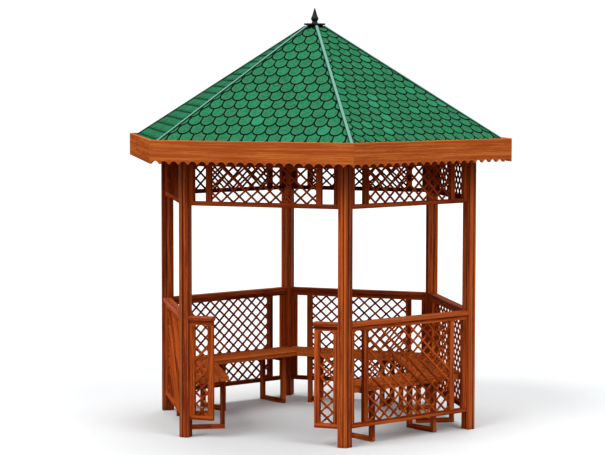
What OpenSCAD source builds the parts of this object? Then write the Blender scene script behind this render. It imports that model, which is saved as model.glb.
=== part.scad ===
// Six-sided open garden gazebo of stained timber, with lattice panels between six corner posts,
// a ring of benches, a scalloped eaves board and a shingled pyramid roof with a spike on top.
// Millimetres, +Z up, the ground at z = 0, the entrance facing -Y.

/* [Plan] */
// Distance from the centre to the outer corner of a post
post_radius = 1375; // [1100:5:1800]
// How far the eaves board stands out past the posts' outer faces
overhang = 250; // [150:5:350]

/* [Posts] */
// Width of each post leg, along its wall
post_w = 66; // [50:1:90]
// Depth of each post leg, from outside to inside
post_d = 84; // [64:1:120]
// Distance from a post's outer corner to the groove in each outer face
groove_at = 21; // [12:1:35]
// Distance from a post's outer face to the seam in each end face
seam_at = 34; // [20:1:50]
// Width and depth of the grooves and seams
groove = 4; // [2:0.5:6]

/* [Panels] */
// Height of the rails
rail_h = 35; // [25:1:60]
// Width of the stiles
stile_w = 44; // [25:1:60]
// Thickness of rails and stiles
panel_t = 34; // [24:1:45]
// Distance from a post's outer corner to the first lattice stile of a whole panel
lattice_stile_at = 210; // [150:5:300]
// Distance from a post's outer corner to the free end of an entrance panel
entrance_end = 266; // [200:2:320]

/* [Lattice] */
// Distance between crossings, along the wall
lattice_dx = 101; // [70:1:160]
// Wanted distance between crossings, upwards; it is adjusted so that whole diamonds fit
lattice_dz = 90; // [60:1:150]
// Width of a slat
slat_w = 15; // [8:1:22]
// Thickness of a slat
slat_t = 8; // [5:1:12]

/* [Railing] */
// Height of the underside of the bottom rail
railing_z = 141; // [80:1:250]
// Height of the top of the handrail
handrail_z = 961; // [850:1:1100]
// Thickness of the handrail board
handrail_t = 34; // [20:1:50]
// Width of the handrail board
handrail_w = 70; // [45:1:84]

/* [Frieze] */
// Height of the underside of the frieze's lower rail
frieze_z = 1829; // [1700:1:2000]
// Height of the underside of the head beam
head_z = 2136; // [2100:1:2300]
// Height of the head beam itself
head_h = 100; // [60:5:140]

/* [Benches] */
// Height of the top of a seat
seat_z = 440; // [380:5:500]
// Thickness of a seat
seat_t = 38; // [25:1:50]
// How far a seat's back edge reaches in behind the posts' inner faces
seat_lap = 4; // [0:1:20]
// Width of a seat, from back edge to front edge
seat_w = 340; // [280:5:400]
// Size of the square bars of a leg frame
leg_bar = 35; // [25:1:50]
// Distance from a post's outer corner to the first leg frame
leg_at = 342; // [300:2:400]
// How far a leg frame's back bar stands in from the seat's back edge
leg_back = 5; // [0:5:20]
// How far a leg frame's front bar stands in from the seat's front edge
leg_front = 20; // [0:5:50]

/* [Roof] */
// Slope of the roof
pitch = 34.6; // [25:0.1:45]
// Thickness of the roof boards
board_t = 24; // [15:1:35]
// Width of the hip battens
batten_w = 26; // [18:1:50]
// Height of the hip battens over the roof boards
batten_t = 19; // [12:1:30]
// Width of the hip rafters
rafter_w = 45; // [30:1:70]
// Depth of the hip rafters
rafter_d = 70; // [50:1:110]
// Depth of the notch where a rafter sits on its post
notch = 25; // [10:1:40]
// Half the width across flats of the block where the rafters meet
boss_a = 60; // [45:1:90]
// Height of that block
boss_h = 190; // [140:5:260]

/* [Eaves board] */
// Height of its top edge
fascia_z = 2346; // [2300:1:2500]
// How far its top edge stands up over the roof boards behind it
upstand = 51; // [20:1:90]
// Its whole height, to the points of the scallops
fascia_h = 184; // [140:1:240]
// Its thickness
fascia_t = 22; // [15:1:35]
// Number of scallops on a side
scallops = 21; // [12:1:30]
// Depth of the scallops
scallop_d = 24; // [15:1:35]
// Width of the flat point between two scallops
scallop_tip = 3; // [2:0.5:8]

/* [Spike] */
// Distance from the axis to the corners of its hexagonal plate
plate_r = 88; // [70:1:110]
// Thickness of the plate
plate_t = 16; // [8:1:25]
// Radius of the spike where it is thickest
spike_r = 31; // [20:1:45]
// Height of the spike over the plate
spike_h = 126; // [80:1:200]

/* [Hidden] */
$fn = 64;

CORNERS = ["front_left", "front_right", "right", "back_right", "back_left", "left"];
SIDES = ["front", "right_front", "right_back", "back", "left_back", "left_front"];
WHOLE_SIDES = [1, 2, 3, 4, 5];
function named(prefix, names, which) = [for (i = which) str(prefix, names[i])];

timber = [0.60, 0.27, 0.11];
dark_timber = [0.40, 0.16, 0.07];
board_wood = [0.70, 0.36, 0.16];
roof_green = [0.13, 0.52, 0.34];
batten_green = [0.44, 0.73, 0.64];
spike_black = [0.07, 0.07, 0.07];

// A hexagon's side is as long as its circumradius, and its flats are this far from its centre.
wall_a = post_radius * cos(30);
panel_inset = (post_d - panel_t) / 2;
seat_back = post_d - seat_lap;
// Slats are halved into each other this deep where they cross, and let into the frame this far
slat_halving = 1;
slat_tenon = 6;
// The lowest and the highest crossings lie this far inside the rails
crossing_sunk = 1;
// Between two seats where they meet, and between a seat and the end of a post's leg
seat_gap = 1;
// How far a handrail by the entrance reaches past the panel under it
rail_past = 4;
// How far the spike's plate is let down between the upper ends of the battens
plate_sunk = 4;

top_rail_z = handrail_z - handrail_t - rail_h;
fascia_a = wall_a + overhang;
fascia_inner_a = fascia_a - fascia_t;
fascia_len = 2 * fascia_a * tan(30);

// The height of a roof face falls by this much for each millimetre out from the axis, and that of
// a hip, where two faces meet, by the smaller amount after it.
face_fall = tan(pitch);
// Height at which the roof boards' faces would meet on the axis
apex_z = fascia_z - upstand + face_fall * fascia_inner_a;
hip_fall = face_fall * cos(30);
hip_angle = atan(hip_fall);
board_drop = board_t / cos(pitch);
// Lowers the flat top of a rafter so that its edges just meet the underside of the boards
rafter_drop = face_fall * sin(30) * rafter_w / 2;
rafter_depth = rafter_d / cos(hip_angle);
function hip_z(r) = apex_z - hip_fall * r;
function rafter_top(r) = hip_z(r) - board_drop - rafter_drop;
function rafter_bottom(r) = rafter_top(r) - rafter_depth;
post_top = rafter_bottom(post_radius) + notch;

// The spike's outline from its foot to just under its point, as shares of its greatest radius and
// of its height: a foot let into the plate, a neck, a belly and a long taper
spike_outline = [
    [0.9, -0.06], [0.9, 0], [0.68, 0.08], [0.74, 0.16], [1, 0.29], [0.62, 0.52], [0.3, 0.82],
    [0.1, 0.98]
];

plate_a = plate_r * cos(30);
batten_start = plate_a + 1;
// Their lower end faces are square to the slope, so the top edge reaches out further than the base
batten_end = fascia_inner_a / cos(30) - batten_w / 2 * tan(30) - batten_t * sin(hip_angle) - 1;
plate_z = hip_z(batten_start) + batten_t / cos(hip_angle) - plate_sunk;
// The boards stop just short of the corners of the block under the plate
board_start_a = boss_a / cos(30) + 1;

// Draws what is modelled for the entrance wall, which faces -Y, on wall i.
module on_side(i) rotate([0, 0, 60 * i]) children();

// Draws what is modelled along +X, out from the axis, at corner i.
module at_corner(i) rotate([0, 0, 60 * i - 120]) children();

// Stands an outline up in the entrance wall: its x runs along the wall, its y is the height, and
// its outer face is set_back behind the posts' outer faces.
module upright(set_back, thick)
    translate([0, -wall_a + set_back + thick, 0])
        rotate([90, 0, 0])
            linear_extrude(thick) children();

// The vertical wedge of one side, between the mitre planes through the axis and two corners.
module wedge(top)
    linear_extrude(top)
        polygon([[0, 0], [-2 * post_radius * sin(30), -2 * wall_a],
                 [2 * post_radius * sin(30), -2 * wall_a]]);

// A rectangle between two pairs of x and y.
module span(x0, x1, y0, y1) translate([x0, y0]) square([x1 - x0, y1 - y0]);

// ---- Posts ----

// A point s along the wall and d into it, from the post's outer corner, on either wall.
function leg_point(s, d, hand) =
    s * [cos(120), hand * sin(120)] - d * [cos(30), hand * sin(30)];

module v_cut(p0, p1, p2) polygon([p0, p1, p2]);

module post_plan() {
    difference() {
        polygon([
            [0, 0],
            leg_point(post_w, 0, 1), leg_point(post_w, post_d, 1),
            leg_point(post_d / tan(60), post_d, 1),
            leg_point(post_w, post_d, -1), leg_point(post_w, 0, -1)
        ]);
        for (hand = [-1, 1]) {
            v_cut(leg_point(groove_at - groove, -groove, hand),
                  leg_point(groove_at + groove, -groove, hand),
                  leg_point(groove_at, groove, hand));
            v_cut(leg_point(post_w + groove, seam_at - groove, hand),
                  leg_point(post_w + groove, seam_at + groove, hand),
                  leg_point(post_w - groove, seam_at, hand));
        }
    }
}

module post(i)
    color(timber)
        at_corner(i) translate([post_radius, 0, 0]) linear_extrude(post_top) post_plan();

// ---- Lattice panels ----

// One layer of parallel slats in a window from x0 to x1 and y0 to y1. They pass through points on
// the window's lower edge, one of them at x = through; lean is 1 for / and -1 for \.
module slats(x0, x1, y0, y1, through, lean) {
    rows = round((y1 - y0) / lattice_dz);
    dz = (y1 - y0 + 2 * crossing_sunk) / rows;
    reach = ceil((x1 - x0) / lattice_dx) + rows;
    length = 2 * (x1 - x0 + y1 - y0);
    intersection() {
        span(x0 - slat_tenon, x1 + slat_tenon, y0 - slat_tenon, y1 + slat_tenon);
        for (k = [-reach:reach])
            translate([through + k * lattice_dx, y0 - crossing_sunk])
                rotate(lean * atan2(dz, lattice_dx))
                    square([length, slat_w], center = true);
    }
}

// Both layers, in the middle of the panel's thickness, with the \ slats outside.
module lattice(x0, x1, y0, y1, through) {
    upright(post_d / 2 - slat_t, slat_t + slat_halving / 2)
        slats(x0, x1, y0, y1, through, -1);
    upright(post_d / 2 - slat_halving / 2, slat_t + slat_halving / 2)
        slats(x0, x1, y0, y1, through, 1);
}

// A panel from post to post: two rails, a stile against each post and a stile either side of the
// lattice. The space between the first two stiles stays open. Two slats cross at x = through on
// the lower edge of the lattice.
module whole_panel(z0, z1, low_rail, top_rail, through) {
    half = post_radius / 2;
    end = half - post_w;
    outer = half - lattice_stile_at;
    inner = outer - stile_w;
    low = z0 + low_rail;
    high = z1 - top_rail;
    upright(panel_inset, panel_t)
        difference() {
            span(-end, end, z0, z1);
            span(-inner, inner, low, high);
            for (hand = [0, 1])
                mirror([hand, 0]) span(outer, end - stile_w, low, high);
        }
    lattice(-inner, inner, low, high, through);
}

module railing(i)
    color(timber) on_side(i) whole_panel(railing_z, top_rail_z + rail_h, rail_h, rail_h, 0);

module frieze(i)
    color(dark_timber)
        on_side(i) whole_panel(frieze_z, head_z + head_h, rail_h, head_h, lattice_dx / 2);

// The narrow panel on each side of the entrance.
module entrance_panel() {
    far = post_radius / 2 - post_w;
    near = post_radius / 2 - entrance_end;
    low = railing_z + rail_h;
    upright(panel_inset, panel_t)
        difference() {
            span(near, far, railing_z, top_rail_z + rail_h);
            span(near + stile_w, far - stile_w, low, top_rail_z);
        }
    lattice(near + stile_w, far - stile_w, low, top_rail_z, (near + far + lattice_dx) / 2);
}

module entrance_panels()
    color(timber)
        for (hand = [0, 1]) mirror([hand, 0, 0]) entrance_panel();

// The handrail boards, on five whole panels and on the two by the entrance.
module handrail_board(x0, x1)
    translate([x0, -wall_a + (post_d - handrail_w) / 2, handrail_z - handrail_t])
        cube([x1 - x0, handrail_w, handrail_t]);

module handrails()
    color(timber) {
        end = post_radius / 2 - post_w;
        for (i = WHOLE_SIDES) on_side(i) handrail_board(-end, end);
        for (hand = [0, 1])
            mirror([hand, 0, 0])
                handrail_board(post_radius / 2 - entrance_end - rail_past, end);
    }

// ---- Benches ----

module bench_seat(i)
    color(timber) on_side(i) {
        back = wall_a - seat_back;
        front = back - seat_w;
        // The mitred ends stop half a gap short of the mitre planes
        short = seat_gap / 2 / cos(30);
        translate([0, 0, seat_z - seat_t])
            linear_extrude(seat_t)
                difference() {
                    polygon([[-back * tan(30) + short, -back], [back * tan(30) - short, -back],
                             [front * tan(30) - short, -front], [-front * tan(30) + short, -front]]);
                    // Corners cut back round the posts
                    for (hand = [0, 1])
                        mirror([hand, 0])
                            span(post_radius / 2 - post_w - seat_gap, post_radius, -wall_a,
                                 -wall_a + post_d);
                }
    }

module leg_frame() {
    depth = seat_w - leg_back - leg_front;
    height = seat_z - seat_t;
    translate([-leg_bar / 2, -wall_a + seat_back + leg_back, 0])
        difference() {
            cube([leg_bar, depth, height]);
            translate([-1, leg_bar, leg_bar])
                cube([leg_bar + 2, depth - 2 * leg_bar, height - 2 * leg_bar]);
        }
}

module bench_legs(i)
    color(dark_timber) on_side(i)
        for (hand = [-1, 1])
            translate([hand * (post_radius / 2 - leg_at - leg_bar / 2), 0, 0]) leg_frame();

// ---- Roof ----

module eaves_board(i) {
    pitch_x = fascia_len / scallops;
    chord = pitch_x - scallop_tip;
    radius = (pow(chord / 2, 2) + pow(scallop_d, 2)) / (2 * scallop_d);
    bottom = fascia_z - fascia_h;
    color(board_wood) on_side(i)
        intersection() {
            upright(-overhang, fascia_t)
                difference() {
                    span(-fascia_len, fascia_len, bottom, fascia_z);
                    for (k = [0:scallops - 1])
                        translate([(k + 0.5) * pitch_x - fascia_len / 2,
                                   bottom + scallop_d - radius])
                            circle(r = radius);
                }
            wedge(fascia_z + 1);
        }
}

module roof_face(i)
    color(roof_green) on_side(i)
        intersection() {
            translate([fascia_a, 0, 0])
                rotate([90, 0, -90])
                    linear_extrude(2 * fascia_a)
                        polygon([
                            [board_start_a, apex_z - face_fall * board_start_a],
                            [fascia_inner_a, apex_z - face_fall * fascia_inner_a],
                            [fascia_inner_a, apex_z - face_fall * fascia_inner_a - board_drop],
                            [board_start_a, apex_z - face_fall * board_start_a - board_drop]
                        ]);
            wedge(apex_z);
        }

// A batten lies over a hip like a shallow inverted V, and runs down along it.
module hip_batten() {
    // How far the roof faces fall away from the hip at the batten's edges, square to the hip
    side_fall = face_fall * sin(30) * cos(hip_angle) * batten_w / 2;
    length = (batten_end - batten_start) / cos(hip_angle);
    translate([batten_start, 0, hip_z(batten_start)])
        rotate([0, 90 + hip_angle, 0])
            linear_extrude(length)
                polygon([
                    [0, 0], [side_fall, batten_w / 2], [side_fall - batten_t, batten_w / 2],
                    [-batten_t, 0],
                    [side_fall - batten_t, -batten_w / 2], [side_fall, -batten_w / 2]
                ]);
}

module hip_battens()
    color(batten_green)
        for (i = [0:5]) at_corner(i) hip_batten();

module hip_rafters()
    color(dark_timber) {
        inner = boss_a;
        outer = fascia_inner_a / cos(30) - rafter_w / 2 * tan(30);
        difference() {
            for (i = [0:5])
                at_corner(i)
                    translate([0, rafter_w / 2, 0])
                        rotate([90, 0, 0])
                            linear_extrude(rafter_w)
                                polygon([
                                    [inner, rafter_top(inner)], [outer, rafter_top(outer)],
                                    [outer, rafter_bottom(outer)], [inner, rafter_bottom(inner)]
                                ]);
            for (i = [0:5])
                at_corner(i)
                    translate([post_radius, 0, 0])
                        translate([-post_d / sin(60), -post_w, 0])
                            cube([post_d / sin(60) + 1, 2 * post_w, post_top]);
        }
    }

module roof_boss()
    color(dark_timber)
        translate([0, 0, plate_z - boss_h])
            rotate(30) cylinder(r = boss_a / cos(30), h = boss_h, $fn = 6);

module roof_spike()
    color(spike_black) {
        translate([0, 0, plate_z])
            rotate(30) cylinder(r = plate_r, h = plate_t, $fn = 6);
        translate([0, 0, plate_z + plate_t])
            rotate_extrude()
                polygon([
                    [0, spike_outline[0][1] * spike_h],
                    for (point = spike_outline) [point[0] * spike_r, point[1] * spike_h],
                    [0, spike_h]
                ]);
    }

for (i = [0:5]) {
    post(i);
    frieze(i);
    eaves_board(i);
    roof_face(i);
}
for (i = WHOLE_SIDES) {
    railing(i);
    bench_seat(i);
    bench_legs(i);
}
entrance_panels();
handrails();
hip_battens();
hip_rafters();
roof_boss();
roof_spike();
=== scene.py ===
import math

import bpy
import numpy as np
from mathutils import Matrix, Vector


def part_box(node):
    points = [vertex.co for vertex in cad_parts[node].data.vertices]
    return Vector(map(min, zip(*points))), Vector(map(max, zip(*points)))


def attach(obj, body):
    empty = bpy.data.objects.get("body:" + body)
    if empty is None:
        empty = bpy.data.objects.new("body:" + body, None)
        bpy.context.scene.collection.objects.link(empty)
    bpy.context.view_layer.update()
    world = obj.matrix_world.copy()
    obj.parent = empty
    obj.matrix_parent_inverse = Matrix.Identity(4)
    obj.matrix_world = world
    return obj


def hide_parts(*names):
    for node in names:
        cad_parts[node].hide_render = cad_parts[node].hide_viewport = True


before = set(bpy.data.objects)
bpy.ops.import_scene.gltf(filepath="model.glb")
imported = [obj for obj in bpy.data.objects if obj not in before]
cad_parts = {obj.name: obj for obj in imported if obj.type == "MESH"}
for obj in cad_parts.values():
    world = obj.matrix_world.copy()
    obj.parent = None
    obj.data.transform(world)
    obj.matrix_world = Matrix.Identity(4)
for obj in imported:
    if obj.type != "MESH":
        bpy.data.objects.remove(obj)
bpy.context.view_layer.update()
print("nodes in the frame:", len(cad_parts))

# %% [markdown]
# ## The hexagon that everything follows
#
# A hexagonal building is one wall, turned six times. Each wall has its own directions: along it,
# and out from the middle of the floor, square to it. A piece is worked out once on a wall, and
# turned to its place, so that the corners always meet on the same mitre planes. The sizes come
# from the frame, which keeps the new pieces and the solids in step.
# %% Walls, corners and the sizes that the frame gives
SIDES = ["front", "right_front", "right_back", "back", "left_back", "left_front"]
CORNERS = ["front_left", "front_right", "right", "back_right", "back_left", "left"]
WHOLE_SIDES = SIDES[1:]
MITRE = math.tan(math.radians(30))
SIXTH = math.radians(60)

post_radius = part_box("post_right")[1].x
wall_out = post_radius * math.cos(math.radians(30))
half_wall = post_radius / 2
post_wide, post_deep = 0.066, 0.084
mid_panel = wall_out - post_deep / 2
# Where a post's grooves and seams are, from its outer corner and its outer face, and their depth
GROOVE_AT, SEAM_AT, GROOVE = 0.021, 0.034, 0.0042


def wall_angle(side):
    """The direction, in radians, in which a wall faces."""
    return math.radians(-90) + SIXTH * SIDES.index(side)


def on_wall(side, along, out, up):
    """Turns places given along a wall, out from the axis and up into x, y and z."""
    turn = wall_angle(side)
    x = out * math.cos(turn) - along * math.sin(turn)
    y = out * math.sin(turn) + along * math.cos(turn)
    return np.stack(np.broadcast_arrays(x, y, up), axis=-1)


print("posts' outer corners at", round(post_radius, 4), "m, walls at", round(wall_out, 4), "m")

# %% [markdown]
# ## Making a surface
#
# A surface is a grid of points: one parameter runs round a section, the other runs from one
# section to the next. Numpy works out the whole grid at once, and a second grid of index numbers
# joins the points into faces. That is quicker than adding vertices one by one, and the shape stays
# readable, because it is written as a formula.
# %% Grids of points to meshes
def strips(rings, points, closed=True):
    """Faces between neighbouring rings of a grid. Each joins two points of one ring and two of the
    next."""
    ring = np.arange(rings - 1)[:, None] * points
    point = np.arange(points if closed else points - 1)[None, :]
    after = (point + 1) % points
    corners = [ring + point, ring + after, ring + points + after, ring + points + point]
    return np.stack(np.broadcast_arrays(*corners), axis=-1).reshape(-1, 4)


def bar_faces(rings, points):
    """The faces of a closed bar: its strips, and one face on each end."""
    last = (rings - 1) * points
    ends = [np.arange(points)[::-1].tolist(), (last + np.arange(points)).tolist()]
    return strips(rings, points).tolist() + ends


def make_piece(name, points, faces, smooth=False):
    """A mesh object from points and faces, which rides on the root of the frame."""
    mesh = bpy.data.meshes.new(name)
    mesh.from_pydata(points.reshape(-1, 3).tolist(), [], faces)
    if smooth:
        mesh.shade_smooth()
    piece = bpy.data.objects.new(name, mesh)
    bpy.context.scene.collection.objects.link(piece)
    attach(piece, "root")
    return piece


def copies(points, faces):
    """Faces for many shapes that share one list of faces: points has one shape per row."""
    starts = range(0, points.shape[0] * points.shape[1], points.shape[1])
    return [[corner + start for corner in face] for start in starts for face in faces]


def keep_values(piece, name, values):
    """Stores one number per point, which a finish can read by that name."""
    holder = piece.data.attributes.new(name, "FLOAT", "POINT")
    holder.data.foreach_set("value", np.ascontiguousarray(values, np.float32).ravel())


def dress(node, material):
    """Gives a node of the frame that material, in place of what it had."""
    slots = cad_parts[node].data.materials
    slots.clear()
    slots.append(material)


# %% [markdown]
# ## Writing finishes as arithmetic
#
# A finish is a tree of nodes, but it reads best as a formula. The class below wraps a socket, so
# that ordinary arithmetic on it adds Math nodes. Any other node comes from one method, which takes
# its type, its settings and what goes into its sockets.
# %% Sockets that can be added and multiplied
class Wire:
    """One output socket. Arithmetic on it adds Math nodes and gives a new Wire."""

    def __init__(self, finish, socket):
        self.finish, self.socket = finish, socket

    def math(self, operation, other=0.0):
        return self.finish.node("ShaderNodeMath", {"operation": operation}, {0: self, 1: other})

    def __add__(self, other):
        return self.math("ADD", other)

    def __sub__(self, other):
        return self.math("SUBTRACT", other)

    def __rsub__(self, other):
        return self.finish.node("ShaderNodeMath", {"operation": "SUBTRACT"}, {0: other, 1: self})

    def __mul__(self, other):
        return self.math("MULTIPLY", other)

    def __truediv__(self, other):
        return self.math("DIVIDE", other)

    def __gt__(self, other):
        return self.math("GREATER_THAN", other)

    def __lt__(self, other):
        return self.math("LESS_THAN", other)

    def __abs__(self):
        return self.math("ABSOLUTE")

    __radd__, __rmul__ = __add__, __mul__


# %% A finish and its nodes
class Finish:
    """One procedural material, and the few calls in which its recipe is written."""

    def __init__(self, name, fixed):
        self.material = bpy.data.materials.new(name)
        self.material.use_nodes = True
        self.tree = self.material.node_tree
        self.shader = self.tree.nodes["Principled BSDF"]
        for socket, value in fixed.items():
            self.shader.inputs[socket].default_value = value

    def fill(self, socket, value):
        if isinstance(value, Wire):
            self.tree.links.new(value.socket, socket)
        else:
            socket.default_value = value

    def node(self, kind, settings, sockets, give=0):
        """Adds a node of that kind, makes its settings, fills its sockets and gives one output."""
        node = self.tree.nodes.new(kind)
        for name, value in settings.items():
            setattr(node, name, value)
        for key, value in sockets.items():
            self.fill(node.inputs[key], value)
        return Wire(self, node.outputs[give])

    def vector(self, x, y, z):
        return self.node("ShaderNodeCombineXYZ", {}, {0: x, 1: y, 2: z})

    def noise(self, place, detail=2.0, roughness=0.5, swirl=0.0):
        sockets = {"Vector": place, "Scale": 1.0, "Detail": detail, "Roughness": roughness,
                   "Distortion": swirl}
        return self.node("ShaderNodeTexNoise", {}, sockets)

    def specks(self, scale, detail=2.0, roughness=0.5):
        """Noise that is as fine one way as another, with about scale specks to a metre."""
        return self.noise(self.vector(*[part * scale for part in self.place()]), detail, roughness)

    def chance(self, number):
        """A random number from 0 to 1 for each whole number."""
        return self.node("ShaderNodeTexWhiteNoise", {"noise_dimensions": "1D"}, {"W": number})

    def blend(self, share, first, second):
        colours = {0: share, 6: first, 7: second}
        return self.node("ShaderNodeMix", {"data_type": "RGBA"}, colours, give=2)

    def ease(self, value, low, high):
        """0 below low, 1 above high, and a smooth climb between them."""
        limits = {"Value": value, "From Min": low, "From Max": high}
        return self.node("ShaderNodeMapRange", {"interpolation_type": "SMOOTHSTEP"}, limits)

    def parts(self, output):
        """x, y and z of one output of Texture Coordinate."""
        vector = self.node("ShaderNodeTexCoord", {}, {}, give=output)
        split = self.node("ShaderNodeSeparateXYZ", {}, {0: vector}).socket.node
        return [Wire(self, part) for part in split.outputs]

    def place(self):
        """x, y and z of the shaded point."""
        return self.parts("Object")

    def stored(self, name):
        return self.node("ShaderNodeAttribute", {"attribute_name": name}, {}, give=2)

    def wall_place(self):
        """Along its wall, out from the axis, up, and the wall's number, for the shaded point."""
        x, y, z = self.place()
        wall = (y.math("ARCTAN2", x) / SIXTH - 0.5).math("ROUND")
        turn = (wall + 0.5) * SIXTH
        cosine, sine = turn.math("COSINE"), turn.math("SINE")
        return y * cosine - x * sine, x * cosine + y * sine, z, wall

    def faces_in(self, wall):
        """1 where the surface of that wall looks towards the axis, and 0 elsewhere."""
        x, y, z = self.parts("Normal")
        turn = (wall + 0.5) * SIXTH
        return x * turn.math("COSINE") + y * turn.math("SINE") < -0.5

    def finish(self, colour, roughness, relief=None, depth=0.001):
        """Sends colour, roughness and relief to the shader, and gives the material."""
        self.fill(self.shader.inputs["Base Color"], colour)
        self.fill(self.shader.inputs["Roughness"], roughness)
        if relief is not None:
            heights = {"Strength": 0.6, "Distance": depth, "Height": relief}
            bump = self.node("ShaderNodeBump", {}, heights)
            self.fill(self.shader.inputs["Normal"], bump)
        return self.material


def opaque(red, green, blue):
    return (red, green, blue, 1.0)


# %% [markdown]
# ## The camera
#
# The gazebo is seen from about seventeen metres away, from the right of the way in and from nearly
# three metres up. A long lens from far off keeps the posts nearly parallel, so that the building
# shows its true proportions.
# %% Camera
camera_data = bpy.data.cameras.new("camera")
camera = bpy.data.objects.new("camera", camera_data)
bpy.context.scene.collection.objects.link(camera)
camera.location = (5.944, -16.418, 2.948)
camera.rotation_euler = (math.radians(85.55), math.radians(-0.075), math.radians(20.229))
camera_data.sensor_width = 36.0
camera_data.lens = 126.7
camera_data.clip_end = 200.0
bpy.context.scene.camera = camera
print("camera at", [round(c, 3) for c in camera.location])

# %% [markdown]
# ## Timber
#
# The gazebo is planed softwood with a warm mahogany stain. Stain sinks into the soft parts of the
# grain and leaves broad bands and long streaks, with fine fibres over them. All three are noise,
# stretched many times along the board. The grain has to follow each board, so every finish first
# works out which board a point is on, and only then which way its grain runs.
# %% Stained wood
STAIN_LIGHT = opaque(0.54, 0.105, 0.019)
STAIN_DARK = opaque(0.17, 0.021, 0.005)
EAVES_LIGHT = opaque(0.62, 0.170, 0.034)
EAVES_DARK = opaque(0.38, 0.070, 0.014)
SEAT_LIGHT = opaque(0.60, 0.140, 0.027)
SEAT_DARK = opaque(0.34, 0.055, 0.011)
# Darker copies of the stain, which paint the shade under the roof, under the eaves and under the
# seats
SHADED_STAIN_LIGHT = opaque(0.36, 0.060, 0.011)
SHADED_STAIN_DARK = opaque(0.14, 0.017, 0.004)
RUBBED = {"Specular IOR Level": 0.05}
MATT = {"Specular IOR Level": 0.0}
# How deep the paler outer corner of a post goes, and the height at which the painted shade under
# the eaves is full
PALE_CORNER_DEPTH, UNDER_EAVES = 0.030, 2.22


def wood(finish, along, across, through, board, light, dark):
    """Colour and relief of stained wood whose grain runs along the first place. board is a number
    that differs between boards: it moves the grain and shifts the tone a little."""
    shift = board * 3.71
    band_place = finish.vector(along * 0.7 + shift, across * 42.0, through * 42.0 + shift)
    bands = finish.noise(band_place, 3.0, 0.55, 0.15)
    streak_place = finish.vector(along * 3.2, across * 150.0 + shift, through * 150.0)
    streaks = finish.noise(streak_place, 3.0, 0.6)
    fibre_place = finish.vector(along * 20.0, across * 500.0, through * 500.0 + shift)
    fibres = finish.noise(fibre_place)
    tone = bands * 0.40 + streaks * 0.42 + fibres * 0.18 + finish.chance(board) * 0.08 - 0.04
    colour = finish.blend(finish.ease(tone, 0.415, 0.57), dark, light)
    return colour, streaks * 0.4 + fibres * 0.6


def turned_grain(finish, mask, first, second):
    """Chooses between two sets of three places: the second where mask is 1."""
    return [a + (b - a) * mask for a, b in zip(first, second)]


def post_finish():
    """Upright grain, with a different length of timber on each leg of a post. The corner outside
    the grooves is paler. Painted shade darkens the head of the post, under the eaves, and the
    lowest four centimetres are darker too. Grooves and seams hold the most stain of all."""
    finish = Finish("post_timber", RUBBED)
    along, out, up, wall = finish.wall_place()
    aside = abs(along)
    leg = wall + (along > 0.0) * 7.0
    colour, relief = wood(finish, up, along, out, leg, STAIN_LIGHT, STAIN_DARK)
    corner = (aside > half_wall - GROOVE_AT) * (out > wall_out - PALE_CORNER_DEPTH)
    colour = finish.blend(corner * 0.26, colour, EAVES_LIGHT)
    # Painted shade under the eaves darkens the head of the post; the lowest 4 cm are darker as well
    foot = (1.0 - finish.ease(up, 0.0, 0.04)) * 0.4
    head = finish.ease(up, 1.75, 2.15) * 0.55 + finish.ease(up, 2.06, UNDER_EAVES) * 0.3
    colour = finish.blend(head + foot, colour, SHADED_STAIN_DARK)
    groove = (abs(aside - (half_wall - GROOVE_AT)) < GROOVE) * (out > wall_out - GROOVE)
    on_end = aside < half_wall - post_wide + GROOVE
    seam = (abs(out - (wall_out - SEAM_AT)) < GROOVE) * on_end
    colour = finish.blend((groove + seam) * 0.75, colour, opaque(0.030, 0.005, 0.002))
    return finish.finish(colour, relief * 0.25 + 0.38, relief)


post_material = post_finish()
for corner in CORNERS:
    dress("post_" + corner, post_material)
print("posts finished:", len(CORNERS))

# %% [markdown]
# ## Railings and friezes
#
# A panel is a frame of rails and stiles round a lattice of thin slats. Rails have level grain,
# stiles have upright grain, and the two layers of slats lean one way and the other. The heights of
# the rails and the places of the stiles say which is which, and the middle of the wall's thickness
# parts the two layers.
# %% Panels
RAIL, STILE, HEAD_BEAM = 0.035, 0.044, 0.100
SLAT_ACROSS, SLAT_UP = 0.101, 0.0905
# From a post's outer corner to a whole panel's lattice stile, and to an entrance panel's free end
LATTICE_STILE_AT, ENTRANCE_END = 0.210, 0.266
slat_angle = math.atan2(SLAT_UP, SLAT_ACROSS)
slat_pitch = SLAT_ACROSS * math.sin(slat_angle)


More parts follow.
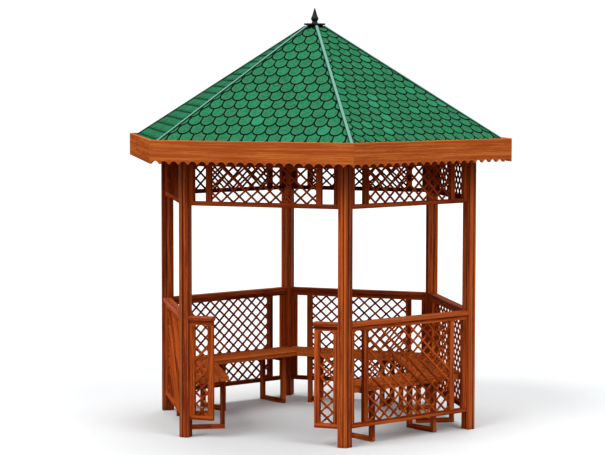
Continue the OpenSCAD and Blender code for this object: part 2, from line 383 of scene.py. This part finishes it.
def panel_finish(name, node, top_rail, lattice_edges, crossing, mirrored, light, dark, inside):
    """Grain for one kind of panel. lattice_edges are the places along the wall between which the
    lattice is, on either side of the middle. Two slats cross at crossing, on its lower edge.
    Painted shade darkens the top, under the eaves, and the faces that look in: inside says how
    strongly."""
    low, high = (corner.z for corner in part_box(node))
    finish = Finish(name, MATT)
    along, out, up, wall = finish.wall_place()
    aside = abs(along)
    is_rail = (up < low + RAIL) + (up > high - top_rail)
    is_lattice = (aside > lattice_edges[0]) * (aside < lattice_edges[1]) * (1.0 - is_rail)
    outside = out > mid_panel
    lean = 1.0 - outside * 2.0
    beside = (aside if mirrored else along) - crossing
    above = up - (low + RAIL)
    slat_along = beside * math.cos(slat_angle) + above * lean * math.sin(slat_angle)
    slat_across = above * math.cos(slat_angle) - beside * lean * math.sin(slat_angle)
    slat_board = (slat_across / slat_pitch).math("ROUND") + outside * 40.0
    grain = turned_grain(finish, is_rail, [up, along, out], [along, up, out])
    grain = turned_grain(finish, is_lattice, grain, [slat_along, slat_across, out])
    rail_board = (up > (low + high) / 2) + 1.0
    stile_board = (along * 9.0).math("ROUND")
    frame_board = is_rail * rail_board + (1.0 - is_rail) * stile_board
    board = frame_board + (slat_board - frame_board) * is_lattice + wall * 11.0
    colour, relief = wood(finish, *grain, board, light, dark)
    # Painted shade under the eaves: darker towards the top
    colour = finish.blend(finish.ease(up, 1.95, UNDER_EAVES) * 0.6, colour, SHADED_STAIN_DARK)
    # Painted shade on the faces that look in, towards the shaded middle of the gazebo
    colour = finish.blend(finish.faces_in(wall) * inside, colour, opaque(0.040, 0.006, 0.003))
    return finish.finish(colour, relief * 0.25 + 0.45, relief)


lattice_half = half_wall - LATTICE_STILE_AT - STILE
entrance_free = half_wall - ENTRANCE_END
entrance_edges = (entrance_free + STILE, half_wall - post_wide - STILE)
entrance_crossing = (sum(entrance_edges) + SLAT_ACROSS) / 2
# The railings take the plain stain, and the friezes a darker copy that paints the shade under the
# roof. The last number is the share of painted shade on the faces that look in.
base_stain = (STAIN_LIGHT, STAIN_DARK, 0.2)
shaded_stain = (SHADED_STAIN_LIGHT, SHADED_STAIN_DARK, 0.75)
PANELS = [
    ("railing_timber", ["railing_" + side for side in WHOLE_SIDES],
     (RAIL, (0.0, lattice_half), 0.0, False, *base_stain)),
    ("frieze_timber", ["frieze_" + side for side in SIDES],
     (HEAD_BEAM, (0.0, lattice_half), SLAT_ACROSS / 2, False, *shaded_stain)),
    ("entrance_timber", ["entrance_panels"],
     (RAIL, entrance_edges, entrance_crossing, True, *base_stain)),
]
for name, nodes, shape in PANELS:
    material = panel_finish(name, nodes[0], *shape)
    for node in nodes:
        dress(node, material)
    print(name, "on", len(nodes), "nodes")

# %% [markdown]
# ## Boards with rounded edges
#
# A planed board never has a knife edge: the edges are eased so that stain holds on them and nobody
# gets a splinter. A board here is a rounded rectangle carried from one end to the other. The ends
# follow the mitre planes of the hexagon where boards meet, so each point of the section has its
# own length.
# %% A board carried along its wall
EASE = 0.003
ARC = np.radians([0.0, 30.0, 60.0, 90.0])


def rounded_section(out_low, out_high, up_low, up_high, ease):
    """A rectangle with quarter circles on its corners: each corner's centre plus a radius turned
    through 90 degrees, corner after corner."""
    out_mid, up_mid = (out_low + out_high) / 2, (up_low + up_high) / 2
    corner = np.arange(4)[:, None]
    angle = ARC[None, :] + corner * math.radians(90)
    out_sign = np.array([1, -1, -1, 1])[:, None]
    up_sign = np.array([1, 1, -1, -1])[:, None]
    out = out_mid + out_sign * ((out_high - out_low) / 2 - ease) + ease * np.cos(angle)
    up = up_mid + up_sign * ((up_high - up_low) / 2 - ease) + ease * np.sin(angle)
    return out.ravel(), up.ravel()


def board_points(side, section, first_end, last_end):
    """Points of one board, from its last end back to its first, which turns its faces outwards. The
    ends are functions that give a place along the wall for a distance out; the last of the length
    is drawn in a little, which eases the ends too."""
    out, up = section
    out_mid, up_mid = (out.max() + out.min()) / 2, (up.max() + up.min()) / 2
    first, last = first_end(out), last_end(out)
    inward = EASE * 0.6
    drawn_out = out_mid + (out - out_mid) * (1 - 2 * inward / np.ptp(out))
    drawn_up = up_mid + (up - up_mid) * (1 - 2 * inward / np.ptp(up))
    return np.stack([
        on_wall(side, last, drawn_out, drawn_up),
        on_wall(side, last - inward, out, up),
        on_wall(side, first + inward, out, up),
        on_wall(side, first, drawn_out, drawn_up),
    ])


def flat_end(place):
    """A board's end that is square: at the same place along the wall for any distance out."""
    return lambda out: np.full_like(out, place)


def boards_piece(name, boards):
    """One mesh from boards that all have the same number of points."""
    points = np.stack([one.reshape(-1, 3) for one in boards])
    faces = copies(points, bar_faces(4, 4 * len(ARC)))
    return make_piece(name, points, faces)


# %% [markdown]
# ## Handrails
#
# A board lies flat on each top rail, and runs from post to post. Beside the way in, the two short
# ones end just past the panel under them. They replace the plain boards of the frame, with eased
# edges along their whole length.
# %% Handrails
HANDRAIL_LOW, HANDRAIL_HIGH, HANDRAIL_WIDE = 0.927, 0.961, 0.070
HANDRAIL_EASE, HANDRAIL_PAST = 0.006, 0.004
rail_in, rail_out = mid_panel - HANDRAIL_WIDE / 2, mid_panel + HANDRAIL_WIDE / 2
rail_section = rounded_section(rail_in, rail_out, HANDRAIL_LOW, HANDRAIL_HIGH, HANDRAIL_EASE)
post_end = half_wall - post_wide
free_end = entrance_free - HANDRAIL_PAST
spans = [(side, -post_end, post_end) for side in WHOLE_SIDES]
spans += [("front", -post_end, -free_end), ("front", free_end, post_end)]
handrails = [board_points(side, rail_section, flat_end(first), flat_end(last))
             for side, first, last in spans]
handrail_piece = boards_piece("handrail_boards", handrails)


def level_finish(name, fixed, light, dark, board_width):
    """Boards that lie level along their walls, each board_width deep from the last."""
    finish = Finish(name, fixed)
    along, out, up, wall = finish.wall_place()
    index = (out / board_width).math("FLOOR") + wall * 17.0
    colour, relief = wood(finish, along, out, up, index, light, dark)
    return finish.finish(colour, relief * 0.25 + 0.45, relief)


handrail_material = level_finish("handrail_timber", RUBBED, STAIN_LIGHT, STAIN_DARK, 1.0)
handrail_piece.data.materials.append(handrail_material)
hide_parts("handrails")
print("handrails:", len(handrails))

# %% [markdown]
# ## Benches
#
# Five benches make a ring inside the railings. Each seat is four lengthwise boards with gaps that
# let rain through. Their ends are cut on the mitre planes, so the boards of one bench run on into
# those of the next, except that the rearmost ones end square, beside the posts. Screws hold each
# board to the leg frames.
# %% Seat boards
SEAT_BOARDS, SEAT_GAP, END_GAP, POST_GAP = 4, 0.004, 0.0006, 0.001
seat_low, seat_high = (corner.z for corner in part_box("bench_seat_back"))
seat_front, seat_back = (corner.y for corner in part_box("bench_seat_back"))
seat_step = (seat_back - seat_front + SEAT_GAP) / SEAT_BOARDS
clear_of_posts = half_wall - post_wide - POST_GAP


def mitred_end(sign):
    """A board's end on the mitre plane of the hexagon, less half the gap there."""
    return lambda out: sign * (out * MITRE - END_GAP)


seat_ends = [(mitred_end(-1), mitred_end(1))] * (SEAT_BOARDS - 1)
seat_ends += [(flat_end(-clear_of_posts), flat_end(clear_of_posts))]
seat_material = level_finish("seat_timber", MATT, SEAT_LIGHT, SEAT_DARK, seat_step)
for side in WHOLE_SIDES:
    boards = []
    for count, ends in enumerate(seat_ends):
        near = seat_front + count * seat_step
        section = rounded_section(near, near + seat_step - SEAT_GAP, seat_low, seat_high, EASE)
        boards.append(board_points(side, section, *ends))
    seat = boards_piece("seat_boards_" + side, boards)
    seat.data.materials.append(seat_material)
    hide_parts("bench_seat_" + side)
seat_board_wide = round(seat_step - SEAT_GAP, 4)
print("seat boards:", SEAT_BOARDS * len(WHOLE_SIDES), "of width", seat_board_wide, "m")

# %% Leg frames
LEG_BAR, LEGS_AT = 0.035, 0.342


def leg_finish():
    """The bars of a leg frame: level ones at the bottom and the top, upright ones between. Painted
    shade darkens them towards the top, under the seat."""
    finish = Finish("leg_timber", MATT)
    along, out, up, wall = finish.wall_place()
    level = (up < LEG_BAR) + (up > seat_low - LEG_BAR)
    grain = turned_grain(finish, level, [up, out, along], [out, up, along])
    number = (along * 3.0).math("ROUND") + (out * 5.0).math("ROUND") * 3.0 + wall * 13.0
    colour, relief = wood(finish, *grain, number + level, STAIN_LIGHT, STAIN_DARK)
    # Painted shade under the seat
    colour = finish.blend(finish.ease(up, 0.12, 0.40) * 0.45, colour, SHADED_STAIN_DARK)
    return finish.finish(colour, relief * 0.25 + 0.42, relief)


leg_material = leg_finish()
for side in WHOLE_SIDES:
    dress("bench_legs_" + side, leg_material)
print("leg frames finished:", 2 * len(WHOLE_SIDES))

# %% [markdown]
# ## Screws
#
# A round-headed screw is a shallow dome. Its outline is a few points turned round its axis, and
# all the screws of the benches are one mesh, because they are the same small shape again and again.
# %% Seat screws
SCREW_SIDES, HEAD_RADIUS, HEAD_HIGH, HEAD_SUNK = 10, 0.0045, 0.0018, 0.002


def dome():
    """Rings of a screw's head: a short upright edge, then a quarter of an ellipse up to the
    middle."""
    climb = np.radians([0.0, 30.0, 60.0, 88.0])
    ring_radius = np.concatenate([[HEAD_RADIUS], HEAD_RADIUS * np.cos(climb)])
    ring_height = np.concatenate([[-HEAD_SUNK], HEAD_HIGH * np.sin(climb)])
    turn = np.arange(SCREW_SIDES) * 2 * math.pi / SCREW_SIDES
    x = ring_radius[:, None] * np.cos(turn)
    y = ring_radius[:, None] * np.sin(turn)
    return np.stack(np.broadcast_arrays(x, y, ring_height[:, None]), axis=-1).reshape(-1, 3)


legs_along = half_wall - LEGS_AT - LEG_BAR / 2
rows = seat_front + (np.arange(SEAT_BOARDS) + 0.5) * seat_step - SEAT_GAP / 2
screw_places = np.concatenate([on_wall(side, np.full_like(rows, along), rows, seat_high)
                               for side in WHOLE_SIDES for along in (-legs_along, legs_along)])
screw_points = screw_places[:, None, :] + dome()[None, :, :]
screw_faces = copies(screw_points, bar_faces(5, SCREW_SIDES))
screws = make_piece("seat_screws", screw_points, screw_faces, True)
steel = Finish("screw_steel", {"Metallic": 1.0})
spread = steel.specks(900.0)
zinc = steel.blend(spread, opaque(0.25, 0.22, 0.18), opaque(0.55, 0.5, 0.42))
screws.data.materials.append(steel.finish(zinc, spread * 0.2 + 0.3))
print("screws:", len(screw_places))

# %% [markdown]
# ## The scalloped eaves board
#
# A broad board hides the edge of the roof. Its lower edge is cut into a row of small arches that
# meet in points, one at every corner of the roof. The section is a plain rectangle with eased
# edges, and only its lowest points move up and down with the arches.
# %% Eaves boards
SCALLOPS, SCALLOP_DEEP, SCALLOP_TIP = 21, 0.024, 0.003
EAVES_THICK, EAVES_EASE, RIM = 0.022, 0.0025, 0.011
ARCH_POINTS = 11
eaves_low, eaves_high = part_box("eaves_board_front")
eaves_out = -eaves_low.y
eaves_length = 2 * eaves_out * MITRE
scallop = eaves_length / SCALLOPS
chord = (scallop - SCALLOP_TIP) / 2
arch_radius = (chord**2 + SCALLOP_DEEP**2) / (2 * SCALLOP_DEEP)


def lower_edge():
    """Places along the board and heights over its lowest points. In each arch, equal steps of angle
    on a circle that passes through both points and the arch's crown."""
    widest = math.asin(chord / arch_radius)
    angle = np.linspace(-widest, widest, ARCH_POINTS)
    arch_along = arch_radius * np.sin(angle)
    arch_up = arch_radius * np.cos(angle) - (arch_radius - SCALLOP_DEEP)
    middles = (np.arange(SCALLOPS) + 0.5) * scallop - eaves_length / 2
    along = (middles[:, None] + arch_along[None, :]).ravel()
    along = np.concatenate([[-eaves_length / 2], along, [eaves_length / 2]])
    lift = np.concatenate([[0.0], np.tile(arch_up, SCALLOPS), [0.0]])
    return along, np.maximum(lift, 0.0)


def eaves_board(side):
    """The section goes round once at every place along: outer face, top, inner face, underside.
    The places go from the last end back to the first, which turns the faces outwards."""
    along, lift = (values[::-1] for values in lower_edge())
    top, inner, ease = eaves_high.z, eaves_out - EAVES_THICK, EAVES_EASE
    out = np.array([eaves_out - ease, eaves_out, eaves_out, eaves_out, eaves_out,
                    eaves_out - ease, inner + ease, inner, inner, inner + ease])[None, :]
    # Points near the top have a height, and those near the bottom rise from the scalloped edge
    fixed = np.array([0, 0, 0, top - RIM, top - ease, top, top, top - ease, 0, 0])[None, :]
    rise = np.array([0, ease, RIM, 0, 0, 0, 0, 0, ease, 0])[None, :]
    up = np.where(fixed > 0, fixed, eaves_low.z + lift[:, None] + rise)
    points = on_wall(side, along[:, None] * out / eaves_out, out, up)
    piece = make_piece("eaves_" + side, points, bar_faces(len(along), out.size))
    rim = np.array([1, 1, 0, 0, 1, 1, 0, 0, 0, 1.0])
    keep_values(piece, "rim", np.tile(rim, len(along)))
    return piece


def eaves_finish():
    """Level grain, with the routed edges a little paler, where the stain has taken less."""
    finish = Finish("eaves_timber", MATT)
    along, out, up, wall = finish.wall_place()
    colour, relief = wood(finish, along, up, out, wall, EAVES_LIGHT, EAVES_DARK)
    colour = finish.blend(finish.stored("rim") * 0.55, colour, opaque(0.68, 0.17, 0.03))
    return finish.finish(colour, relief * 0.2 + 0.4, relief)


eaves_material = eaves_finish()
for side in SIDES:
    piece = eaves_board(side)
    piece.data.materials.append(eaves_material)
    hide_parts("eaves_board_" + side)
print("eaves boards:", len(SIDES), "arches on each:", SCALLOPS, "pitch", round(scallop, 4))

# %% [markdown]
# ## Shingles
#
# The roof is covered with round-ended shingles in level courses. Each course hides the heads of
# the one below, and starts half a shingle further along, so the gaps never line up. A shingle is a
# thin plate, lifted at its lower end by the course that it lies on. Its lower end is half an
# ellipse, and at the hips it is cut off along the slope, under the hip batten. Neighbouring faces
# of the roof have their courses a little further apart and a little closer, by turns.
# %% The slopes
PITCH = math.radians(34.6)
SHINGLE_WIDE, SHINGLE_GAP, SHINGLE_THICK, END_DEEP = 0.104, 0.007, 0.0045, 0.056
# How far shingles keep from a hip, from the eaves board and, measured level, from the axis
HIP_CUT, EAVES_CUT, PEAK_CUT = 0.004, 0.003, 0.071
# For the faces by turns: the step from course to course, and how far down the lowest ends are
COURSES = [(0.1114, 1.6726), (0.0885, 1.6545)]
face_low, face_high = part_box("roof_face_front")
apex_up = face_high.z - face_high.y * math.tan(PITCH)
slope_end = -face_low.y / math.cos(PITCH) - EAVES_CUT
slope_start = PEAK_CUT / math.cos(PITCH)


def hip_along(down):
    """How far along a face its hips are, at a distance down the slope from the peak."""
    return down * math.cos(PITCH) * MITRE


def on_slope(side, along, down, lift):
    """A place on a roof face: along it, down the slope from the peak, and lifted square to it."""
    out = down * math.cos(PITCH) + lift * math.sin(PITCH)
    up = apex_up - down * math.sin(PITCH) + lift * math.cos(PITCH)
    return on_wall(side, along, out, up)


# %% One shingle, then a whole face of them
ACROSS_POINTS, SECTION_POINTS, SHINGLE_EASE = 11, 5, 0.0012


def shingle_outline():
    """Places across a shingle, and how far its end is drawn up there: half an ellipse, in equal
    steps of angle."""
    angle = np.radians(np.linspace(-90, 90, ACROSS_POINTS))
    half = (SHINGLE_WIDE - SHINGLE_GAP) / 2
    return half * np.sin(angle), END_DEEP * (1 - np.cos(angle))


def shingle_places(exposure, lowest):
    """The middle line of every shingle of a face, and how far down the slope its end is."""
    middles, ends = [], []
    for course in range(-1, int((lowest - slope_start) / exposure) + 1):
        end = lowest - course * exposure
        reach = int(hip_along(end) / SHINGLE_WIDE) + 2
        places = (np.arange(-reach, reach + 1) + 0.5 * ((course + 1) % 2)) * SHINGLE_WIDE
        nearest = np.abs(places) - SHINGLE_WIDE / 2
        middles.append(places[nearest < hip_along(end) - HIP_CUT - 0.002])
        ends.append(np.full(len(middles[-1]), end))
    return np.concatenate(middles)[:, None, None], np.concatenate(ends)[:, None, None]


def shingle_face(side, exposure, lowest, rng):
    """All the shingles of one roof face. For each, the section from its head down its face, over
    its end and back underneath is carried across its width. Points past a hip move to the hip, and
    what is left of a shingle there is dropped where it is only a sliver."""
    length = 2 * exposure
    across, drawn = shingle_outline()
    middles, ends = shingle_places(exposure, lowest)
    count = len(middles)
    # Distance up from the end, and share of the thickness, round the section
    head = np.full_like(drawn, length)
    from_end = np.stack([head, drawn + SHINGLE_EASE, drawn, drawn, head], axis=-1)[None]
    depth = np.array([0.0, 0.0, 0.25, 1.0, 1.0])
    # Rings run across the shingle, and points run round the section
    along = middles + across[None, :, None] + np.zeros(SECTION_POINTS)[None, None, :]
    down = np.clip(ends - from_end, slope_start, slope_end)
    jitter = rng.normal(0.0, 0.0007, count)[:, None, None]
    top = (2.05 * SHINGLE_THICK + jitter) * (1 - from_end / length) + SHINGLE_THICK * 0.3
    lift = top - depth * SHINGLE_THICK * np.where(from_end < length, 1.0, 0.2)
    hip = hip_along(down) - HIP_CUT
    cut = np.clip(along, -hip, hip)
    points = on_slope(side, cut, down, lift).reshape(count, -1, 3)
    span = (np.ptp(points, axis=1) ** 2).sum(axis=1)
    width = np.ptp(cut.reshape(count, -1), axis=1)
    keep = (span > 1e-5) & (width > 0.004)
    local_across = (cut - middles).reshape(count, -1)
    local_up = (ends - down).reshape(count, -1)
    return points[keep], local_across[keep], local_up[keep], rng.random(count)[keep]


# %% [markdown]
# ### The shingles' finish
#
# The shingles are green and matt, like mineral felt: a speckled colour that differs a little from
# one to the next, with some bright ones and some dull ones. Painted shade darkens the gaps and the
# strip under the ends of the course above. The finish finds those places by the same ellipses that
# cut the shingles, from each point's place on its own shingle.
# %% Shingle finish
def shingle_finish(name, exposure):
    """Three greens that depend on the shingle, mottled, then a paler rim and outlines of painted
    shade.
    """
    finish = Finish(name, MATT)
    across, climb, chance = [finish.stored(value) for value in ("across", "climb", "chance")]
    half = (SHINGLE_WIDE - SHINGLE_GAP) / 2

    def inside(aside, up):
        """About how far a point is inside the outline: half a shingle's width, less its distance
        from the middle line, or from the ellipse's centre where it is lower than that."""
        over = (up - END_DEEP).math("MINIMUM", 0.0) / END_DEEP
        side = aside / half
        return (1.0 - (side * side + over * over).math("SQRT")) * half

    own = inside(across, climb)
    upper = 0.0 - inside(abs(across) - SHINGLE_WIDE / 2, climb - exposure)
    grit = finish.specks(170.0, 4.0, 0.7)
    cloud = finish.specks(22.0, 3.0, 0.6)
    mottle = finish.specks(48.0, 3.0, 0.7)
    dull, middling = opaque(0.009, 0.142, 0.060), opaque(0.006, 0.178, 0.070)
    green = finish.blend(finish.ease(chance, 0.0, 0.7), dull, middling)
    green = finish.blend(finish.ease(chance, 0.86, 0.97), green, opaque(0.013, 0.26, 0.125))
    green = finish.blend(finish.ease(mottle, 0.46, 0.62) * 0.6, green, opaque(0.068, 0.168, 0.092))
    speckle = finish.ease(grit + cloud * 0.3, 0.52, 0.90) * 0.6
    green = finish.blend(speckle, green, opaque(0.048, 0.175, 0.098))
    green = finish.blend(finish.ease(mottle, 0.50, 0.36) * 0.4, green, opaque(0.007, 0.070, 0.032))
    rim = (1.0 - finish.ease(own, 0.008, 0.015)) * 0.5
    green = finish.blend(rim, green, opaque(0.062, 0.190, 0.105))
    # Painted shade just under the ends of the course above, and in the gaps at each shingle's own
    # edge
    under_next = 1.0 - finish.ease(upper, 0.004, 0.011)
    edge = 1.0 - finish.ease(own, 0.0015, 0.0055)
    painted_shade = under_next.math("MAXIMUM", edge) * 0.97
    colour = finish.blend(painted_shade, green, opaque(0.001, 0.010, 0.004))
    return finish.finish(colour, grit * 0.2 + 0.62, grit, 0.0012)


rng = np.random.default_rng(7)
shingle_materials = [
    shingle_finish("shingles_wide_courses", COURSES[0][0]),
    shingle_finish("shingles_narrow_courses", COURSES[1][0]),
]
for number, side in enumerate(SIDES):
    points, across, climb, chance = shingle_face(side, *COURSES[number % 2], rng)
    faces = copies(points, bar_faces(ACROSS_POINTS, SECTION_POINTS))
    piece = make_piece("shingles_" + side, points, faces)
    keep_values(piece, "across", across)
    keep_values(piece, "climb", climb)
    keep_values(piece, "chance", np.repeat(chance, points.shape[1]))
    piece.data.materials.append(shingle_materials[number % 2])
    print(piece.name, "shingles:", len(points))

# %% [markdown]
# ## Hip battens, rafters and the boards under the shingles
#
# The hips are capped with thin painted battens, in a pale green that has chalked a little. Under
# the roof, boards run level from hip to hip and show their joints as fine dark lines. The rafters
# are finished along their own slope, which is less steep than that of the faces.
# %% Battens, rafters and roof boards
ROOF_BOARD = 0.096


def hip_place(finish):
    """Out along the nearest hip, aside from it, up, and the number of the hip."""
    x, y, z = finish.place()
    hip = (y.math("ARCTAN2", x) / SIXTH).math("ROUND")
    turn = hip * SIXTH
    cosine, sine = turn.math("COSINE"), turn.math("SINE")
    return x * cosine + y * sine, y * cosine - x * sine, z, hip


def batten_finish():
    """Pale paint on the top, and very dark green on the sides."""
    finish = Finish("batten_paint", {"Specular IOR Level": 0.15})
    x, y, z = finish.place()
    aside = abs(hip_place(finish)[1])
    cloud = finish.noise(finish.vector(x * 14.0, y * 14.0, z * 30.0), 4.0, 0.65)
    fine = finish.specks(160.0)
    dusty, chalky = opaque(0.10, 0.29, 0.22), opaque(0.175, 0.38, 0.305)
    colour = finish.blend(cloud * 0.8 + fine * 0.4 - 0.2, dusty, chalky)
    side = finish.ease(aside, 0.0098, 0.0112)
    colour = finish.blend(side * 0.95, colour, opaque(0.004, 0.030, 0.015))
    return finish.finish(colour, fine * 0.2 + 0.5, fine, 0.0006)


def roof_board_finish():
    """Level boards, numbered down the slope, with a dark groove at each joint."""
    finish = Finish("roof_board_timber", MATT)
    along, out, up, wall = finish.wall_place()
    down = out / math.cos(PITCH) / ROOF_BOARD
    number = down.math("FLOOR")
    grain = along, down * ROOF_BOARD, up * 0.1
    colour, relief = wood(finish, *grain, number + wall * 31.0, STAIN_LIGHT, STAIN_DARK)
    groove = finish.ease(abs(down - number - 0.5), 0.47, 0.49)
    colour = finish.blend(groove * 0.85, colour, opaque(0.03, 0.008, 0.003))
    return finish.finish(colour, relief * 0.2 + 0.5, relief - groove * 3.0, 0.002)


def rafter_finish():
    """Grain that runs down the hip, which is less steep than the faces beside it."""
    finish = Finish("rafter_timber", MATT)
    out, aside, up, hip = hip_place(finish)
    slope = math.atan(math.tan(PITCH) * math.cos(math.radians(30)))
    down = out * math.cos(slope) - up * math.sin(slope)
    square = out * math.sin(slope) + up * math.cos(slope)
    colour, relief = wood(finish, down, square, aside, hip, STAIN_LIGHT, STAIN_DARK)
    return finish.finish(colour, relief * 0.2 + 0.45, relief)


def boss_finish():
    """The block under the peak: upright grain, near black, which paints the shade under the plate
    that it carries.
    """
    finish = Finish("boss_timber", MATT)
    x, y, z = finish.place()
    # Near black: painted shade under the plate
    light, dark = opaque(0.010, 0.006, 0.005), opaque(0.004, 0.003, 0.003)
    colour, relief = wood(finish, z, x, y, 0.0, light, dark)
    return finish.finish(colour, relief * 0.2 + 0.5, relief)


dress("hip_battens", batten_finish())
roof_board_material = roof_board_finish()
for side in SIDES:
    dress("roof_face_" + side, roof_board_material)
dress("hip_rafters", rafter_finish())
dress("roof_boss", boss_finish())

# %% [markdown]
# ## The spike
#
# A black spearhead stands on a hexagonal plate at the peak, where the battens meet. The spearhead
# is an outline turned round its axis: a short neck, a full belly, and a long taper to a point. It
# is written as a few radii, with a smooth curve through them. The plate is the same idea with a
# radius that grows and shrinks six times on the way round.
# %% Spike and plate
PLATE_RADIUS, PLATE_THICK, SPIKE_HEIGHT = 0.088, 0.016, 0.126
spike_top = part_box("roof_spike")[1].z
plate_up = spike_top - SPIKE_HEIGHT - PLATE_THICK


def smooth_through(heights, radii, count):
    """A curve through the given points: between two, a cubic whose slopes come from their
    neighbours."""
    heights, radii = np.array(heights), np.array(radii)
    slopes = np.gradient(radii, heights)
    at = np.linspace(heights[0], heights[-1], count)
    left = np.clip(np.searchsorted(heights, at, side="right") - 1, 0, len(heights) - 2)
    width = heights[left + 1] - heights[left]
    t = (at - heights[left]) / width
    value = radii[left] * (2 * t**3 - 3 * t**2 + 1) + radii[left + 1] * (3 * t**2 - 2 * t**3)
    value += width * (slopes[left] * (t**3 - 2 * t**2 + t) + slopes[left + 1] * (t**3 - t**2))
    return at, value


def turned(name, radius, height, around):
    """Rings at the given heights, whose radius is multiplied by around, which has one number for
    each step of angle."""
    turn = np.arange(len(around)) * 2 * math.pi / len(around)
    reach = radius[:, None] * around[None, :]
    places = np.broadcast_arrays(reach * np.cos(turn), reach * np.sin(turn), height[:, None])
    points = np.stack(places, axis=-1)
    return make_piece(name, points, bar_faces(len(radius), len(around)), True)


steps = np.arange(72) * 5.0
hexagon = math.cos(math.radians(30)) / np.cos(np.radians(((steps + 30.0) % 60.0) - 30.0))
plate_radius = PLATE_RADIUS * np.array([0.86, 0.97, 1.0, 1.0, 0.985, 0.5, 0.3])
plate_height = plate_up + PLATE_THICK * np.array([0.0, 0.12, 0.3, 0.8, 0.96, 1.0, 1.0])
plate = turned("spike_plate", plate_radius, plate_height, hexagon)
spear_heights = [0.0, 0.012, 0.036, 0.057, 0.070, 0.091, 0.112, 0.124]
spear_radii = [0.027, 0.0215, 0.031, 0.0235, 0.0185, 0.0125, 0.0065, 0.0022]
height, radius = smooth_through(spear_heights, spear_radii, 40)
# The foot is sunk into the plate, and the tip is closed with a very small face
spear_radius = np.concatenate([[spear_radii[0]], radius, [0.0006]])
spear_height = plate_up + PLATE_THICK + np.concatenate([[-0.004], height, [SPIKE_HEIGHT]])
spear = turned("spike_spear", spear_radius, spear_height, np.ones(40))


def iron_finish():
    """Black paint over rough cast iron."""
    finish = Finish("spike_paint", {"Specular IOR Level": 0.2})
    cast = finish.specks(260.0, 3.0, 0.6)
    colour = finish.blend(cast, opaque(0.002, 0.002, 0.002), opaque(0.010, 0.010, 0.010))
    return finish.finish(colour, cast * 0.25 + 0.35, cast, 0.0015)


iron = iron_finish()
for piece in (plate, spear):
    piece.data.materials.append(iron)
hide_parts("roof_spike")
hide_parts("roof_spike")
print("spike from", round(plate_up, 4), "to", round(spike_top, 4), "m")

# %% [markdown]
# ## Floor and light
#
# The gazebo stands on a plain pale studio floor, which gives back less light to the timber than it
# shows. Three very soft lights come from high up: the key from the left of the way in, a fill from
# the right and one from behind. The air adds an even light to everything, and is white to look at.
# %% Studio
floor_mesh = bpy.data.meshes.new("studio_floor")
FLOOR_REACH = 45.0
floor_signs = [(-1, -1), (1, -1), (1, 1), (-1, 1)]
floor_corners = [(x * FLOOR_REACH, y * FLOOR_REACH, 0) for x, y in floor_signs]
floor_mesh.from_pydata(floor_corners, [], [(0, 1, 2, 3)])
floor = bpy.data.objects.new("studio_floor", floor_mesh)
bpy.context.scene.collection.objects.link(floor)
pale = Finish("studio_floor", {"Specular IOR Level": 0.0})
seen_directly = pale.node("ShaderNodeLightPath", {}, {})
given_back, shown = opaque(0.30, 0.29, 0.28), opaque(0.729, 0.746, 0.754)
pale.finish(pale.blend(seen_directly, given_back, shown), 0.9)
floor_mesh.materials.append(pale.material)


def sun(name, azimuth, height, strength, spread):
    """A far light from that direction, in degrees, whose softness is the angle that it fills."""
    data = bpy.data.lights.new(name, "SUN")
    data.energy, data.angle = strength, math.radians(spread)
    lamp = bpy.data.objects.new(name, data)
    around, over = math.radians(azimuth), math.radians(height)
    level = math.cos(over)
    towards = Vector((math.cos(around) * level, math.sin(around) * level, math.sin(over)))
    lamp.rotation_euler = towards.to_track_quat("Z", "Y").to_euler()
    bpy.context.scene.collection.objects.link(lamp)


sun("key", -120, 48, 1.95, 38)
sun("fill", -25, 44, 1.25, 40)
sun("top", 95, 66, 1.6, 45)
world = bpy.data.worlds.new("studio_air")
world.use_nodes = True
bpy.context.scene.world = world
air, links = world.node_tree.nodes, world.node_tree.links
lit, seen = air["Background"], air.new("ShaderNodeBackground")
lit.inputs["Strength"].default_value = 0.44
for background in (lit, seen):
    background.inputs["Color"].default_value = opaque(1.0, 1.0, 1.0)
chooser, eye = air.new("ShaderNodeMixShader"), air.new("ShaderNodeLightPath")
links.new(eye.outputs["Is Camera Ray"], chooser.inputs[0])
links.new(lit.outputs[0], chooser.inputs[1])
links.new(seen.outputs[0], chooser.inputs[2])
links.new(chooser.outputs[0], air["World Output"].inputs["Surface"])
bpy.context.scene.view_settings.view_transform = "Standard"
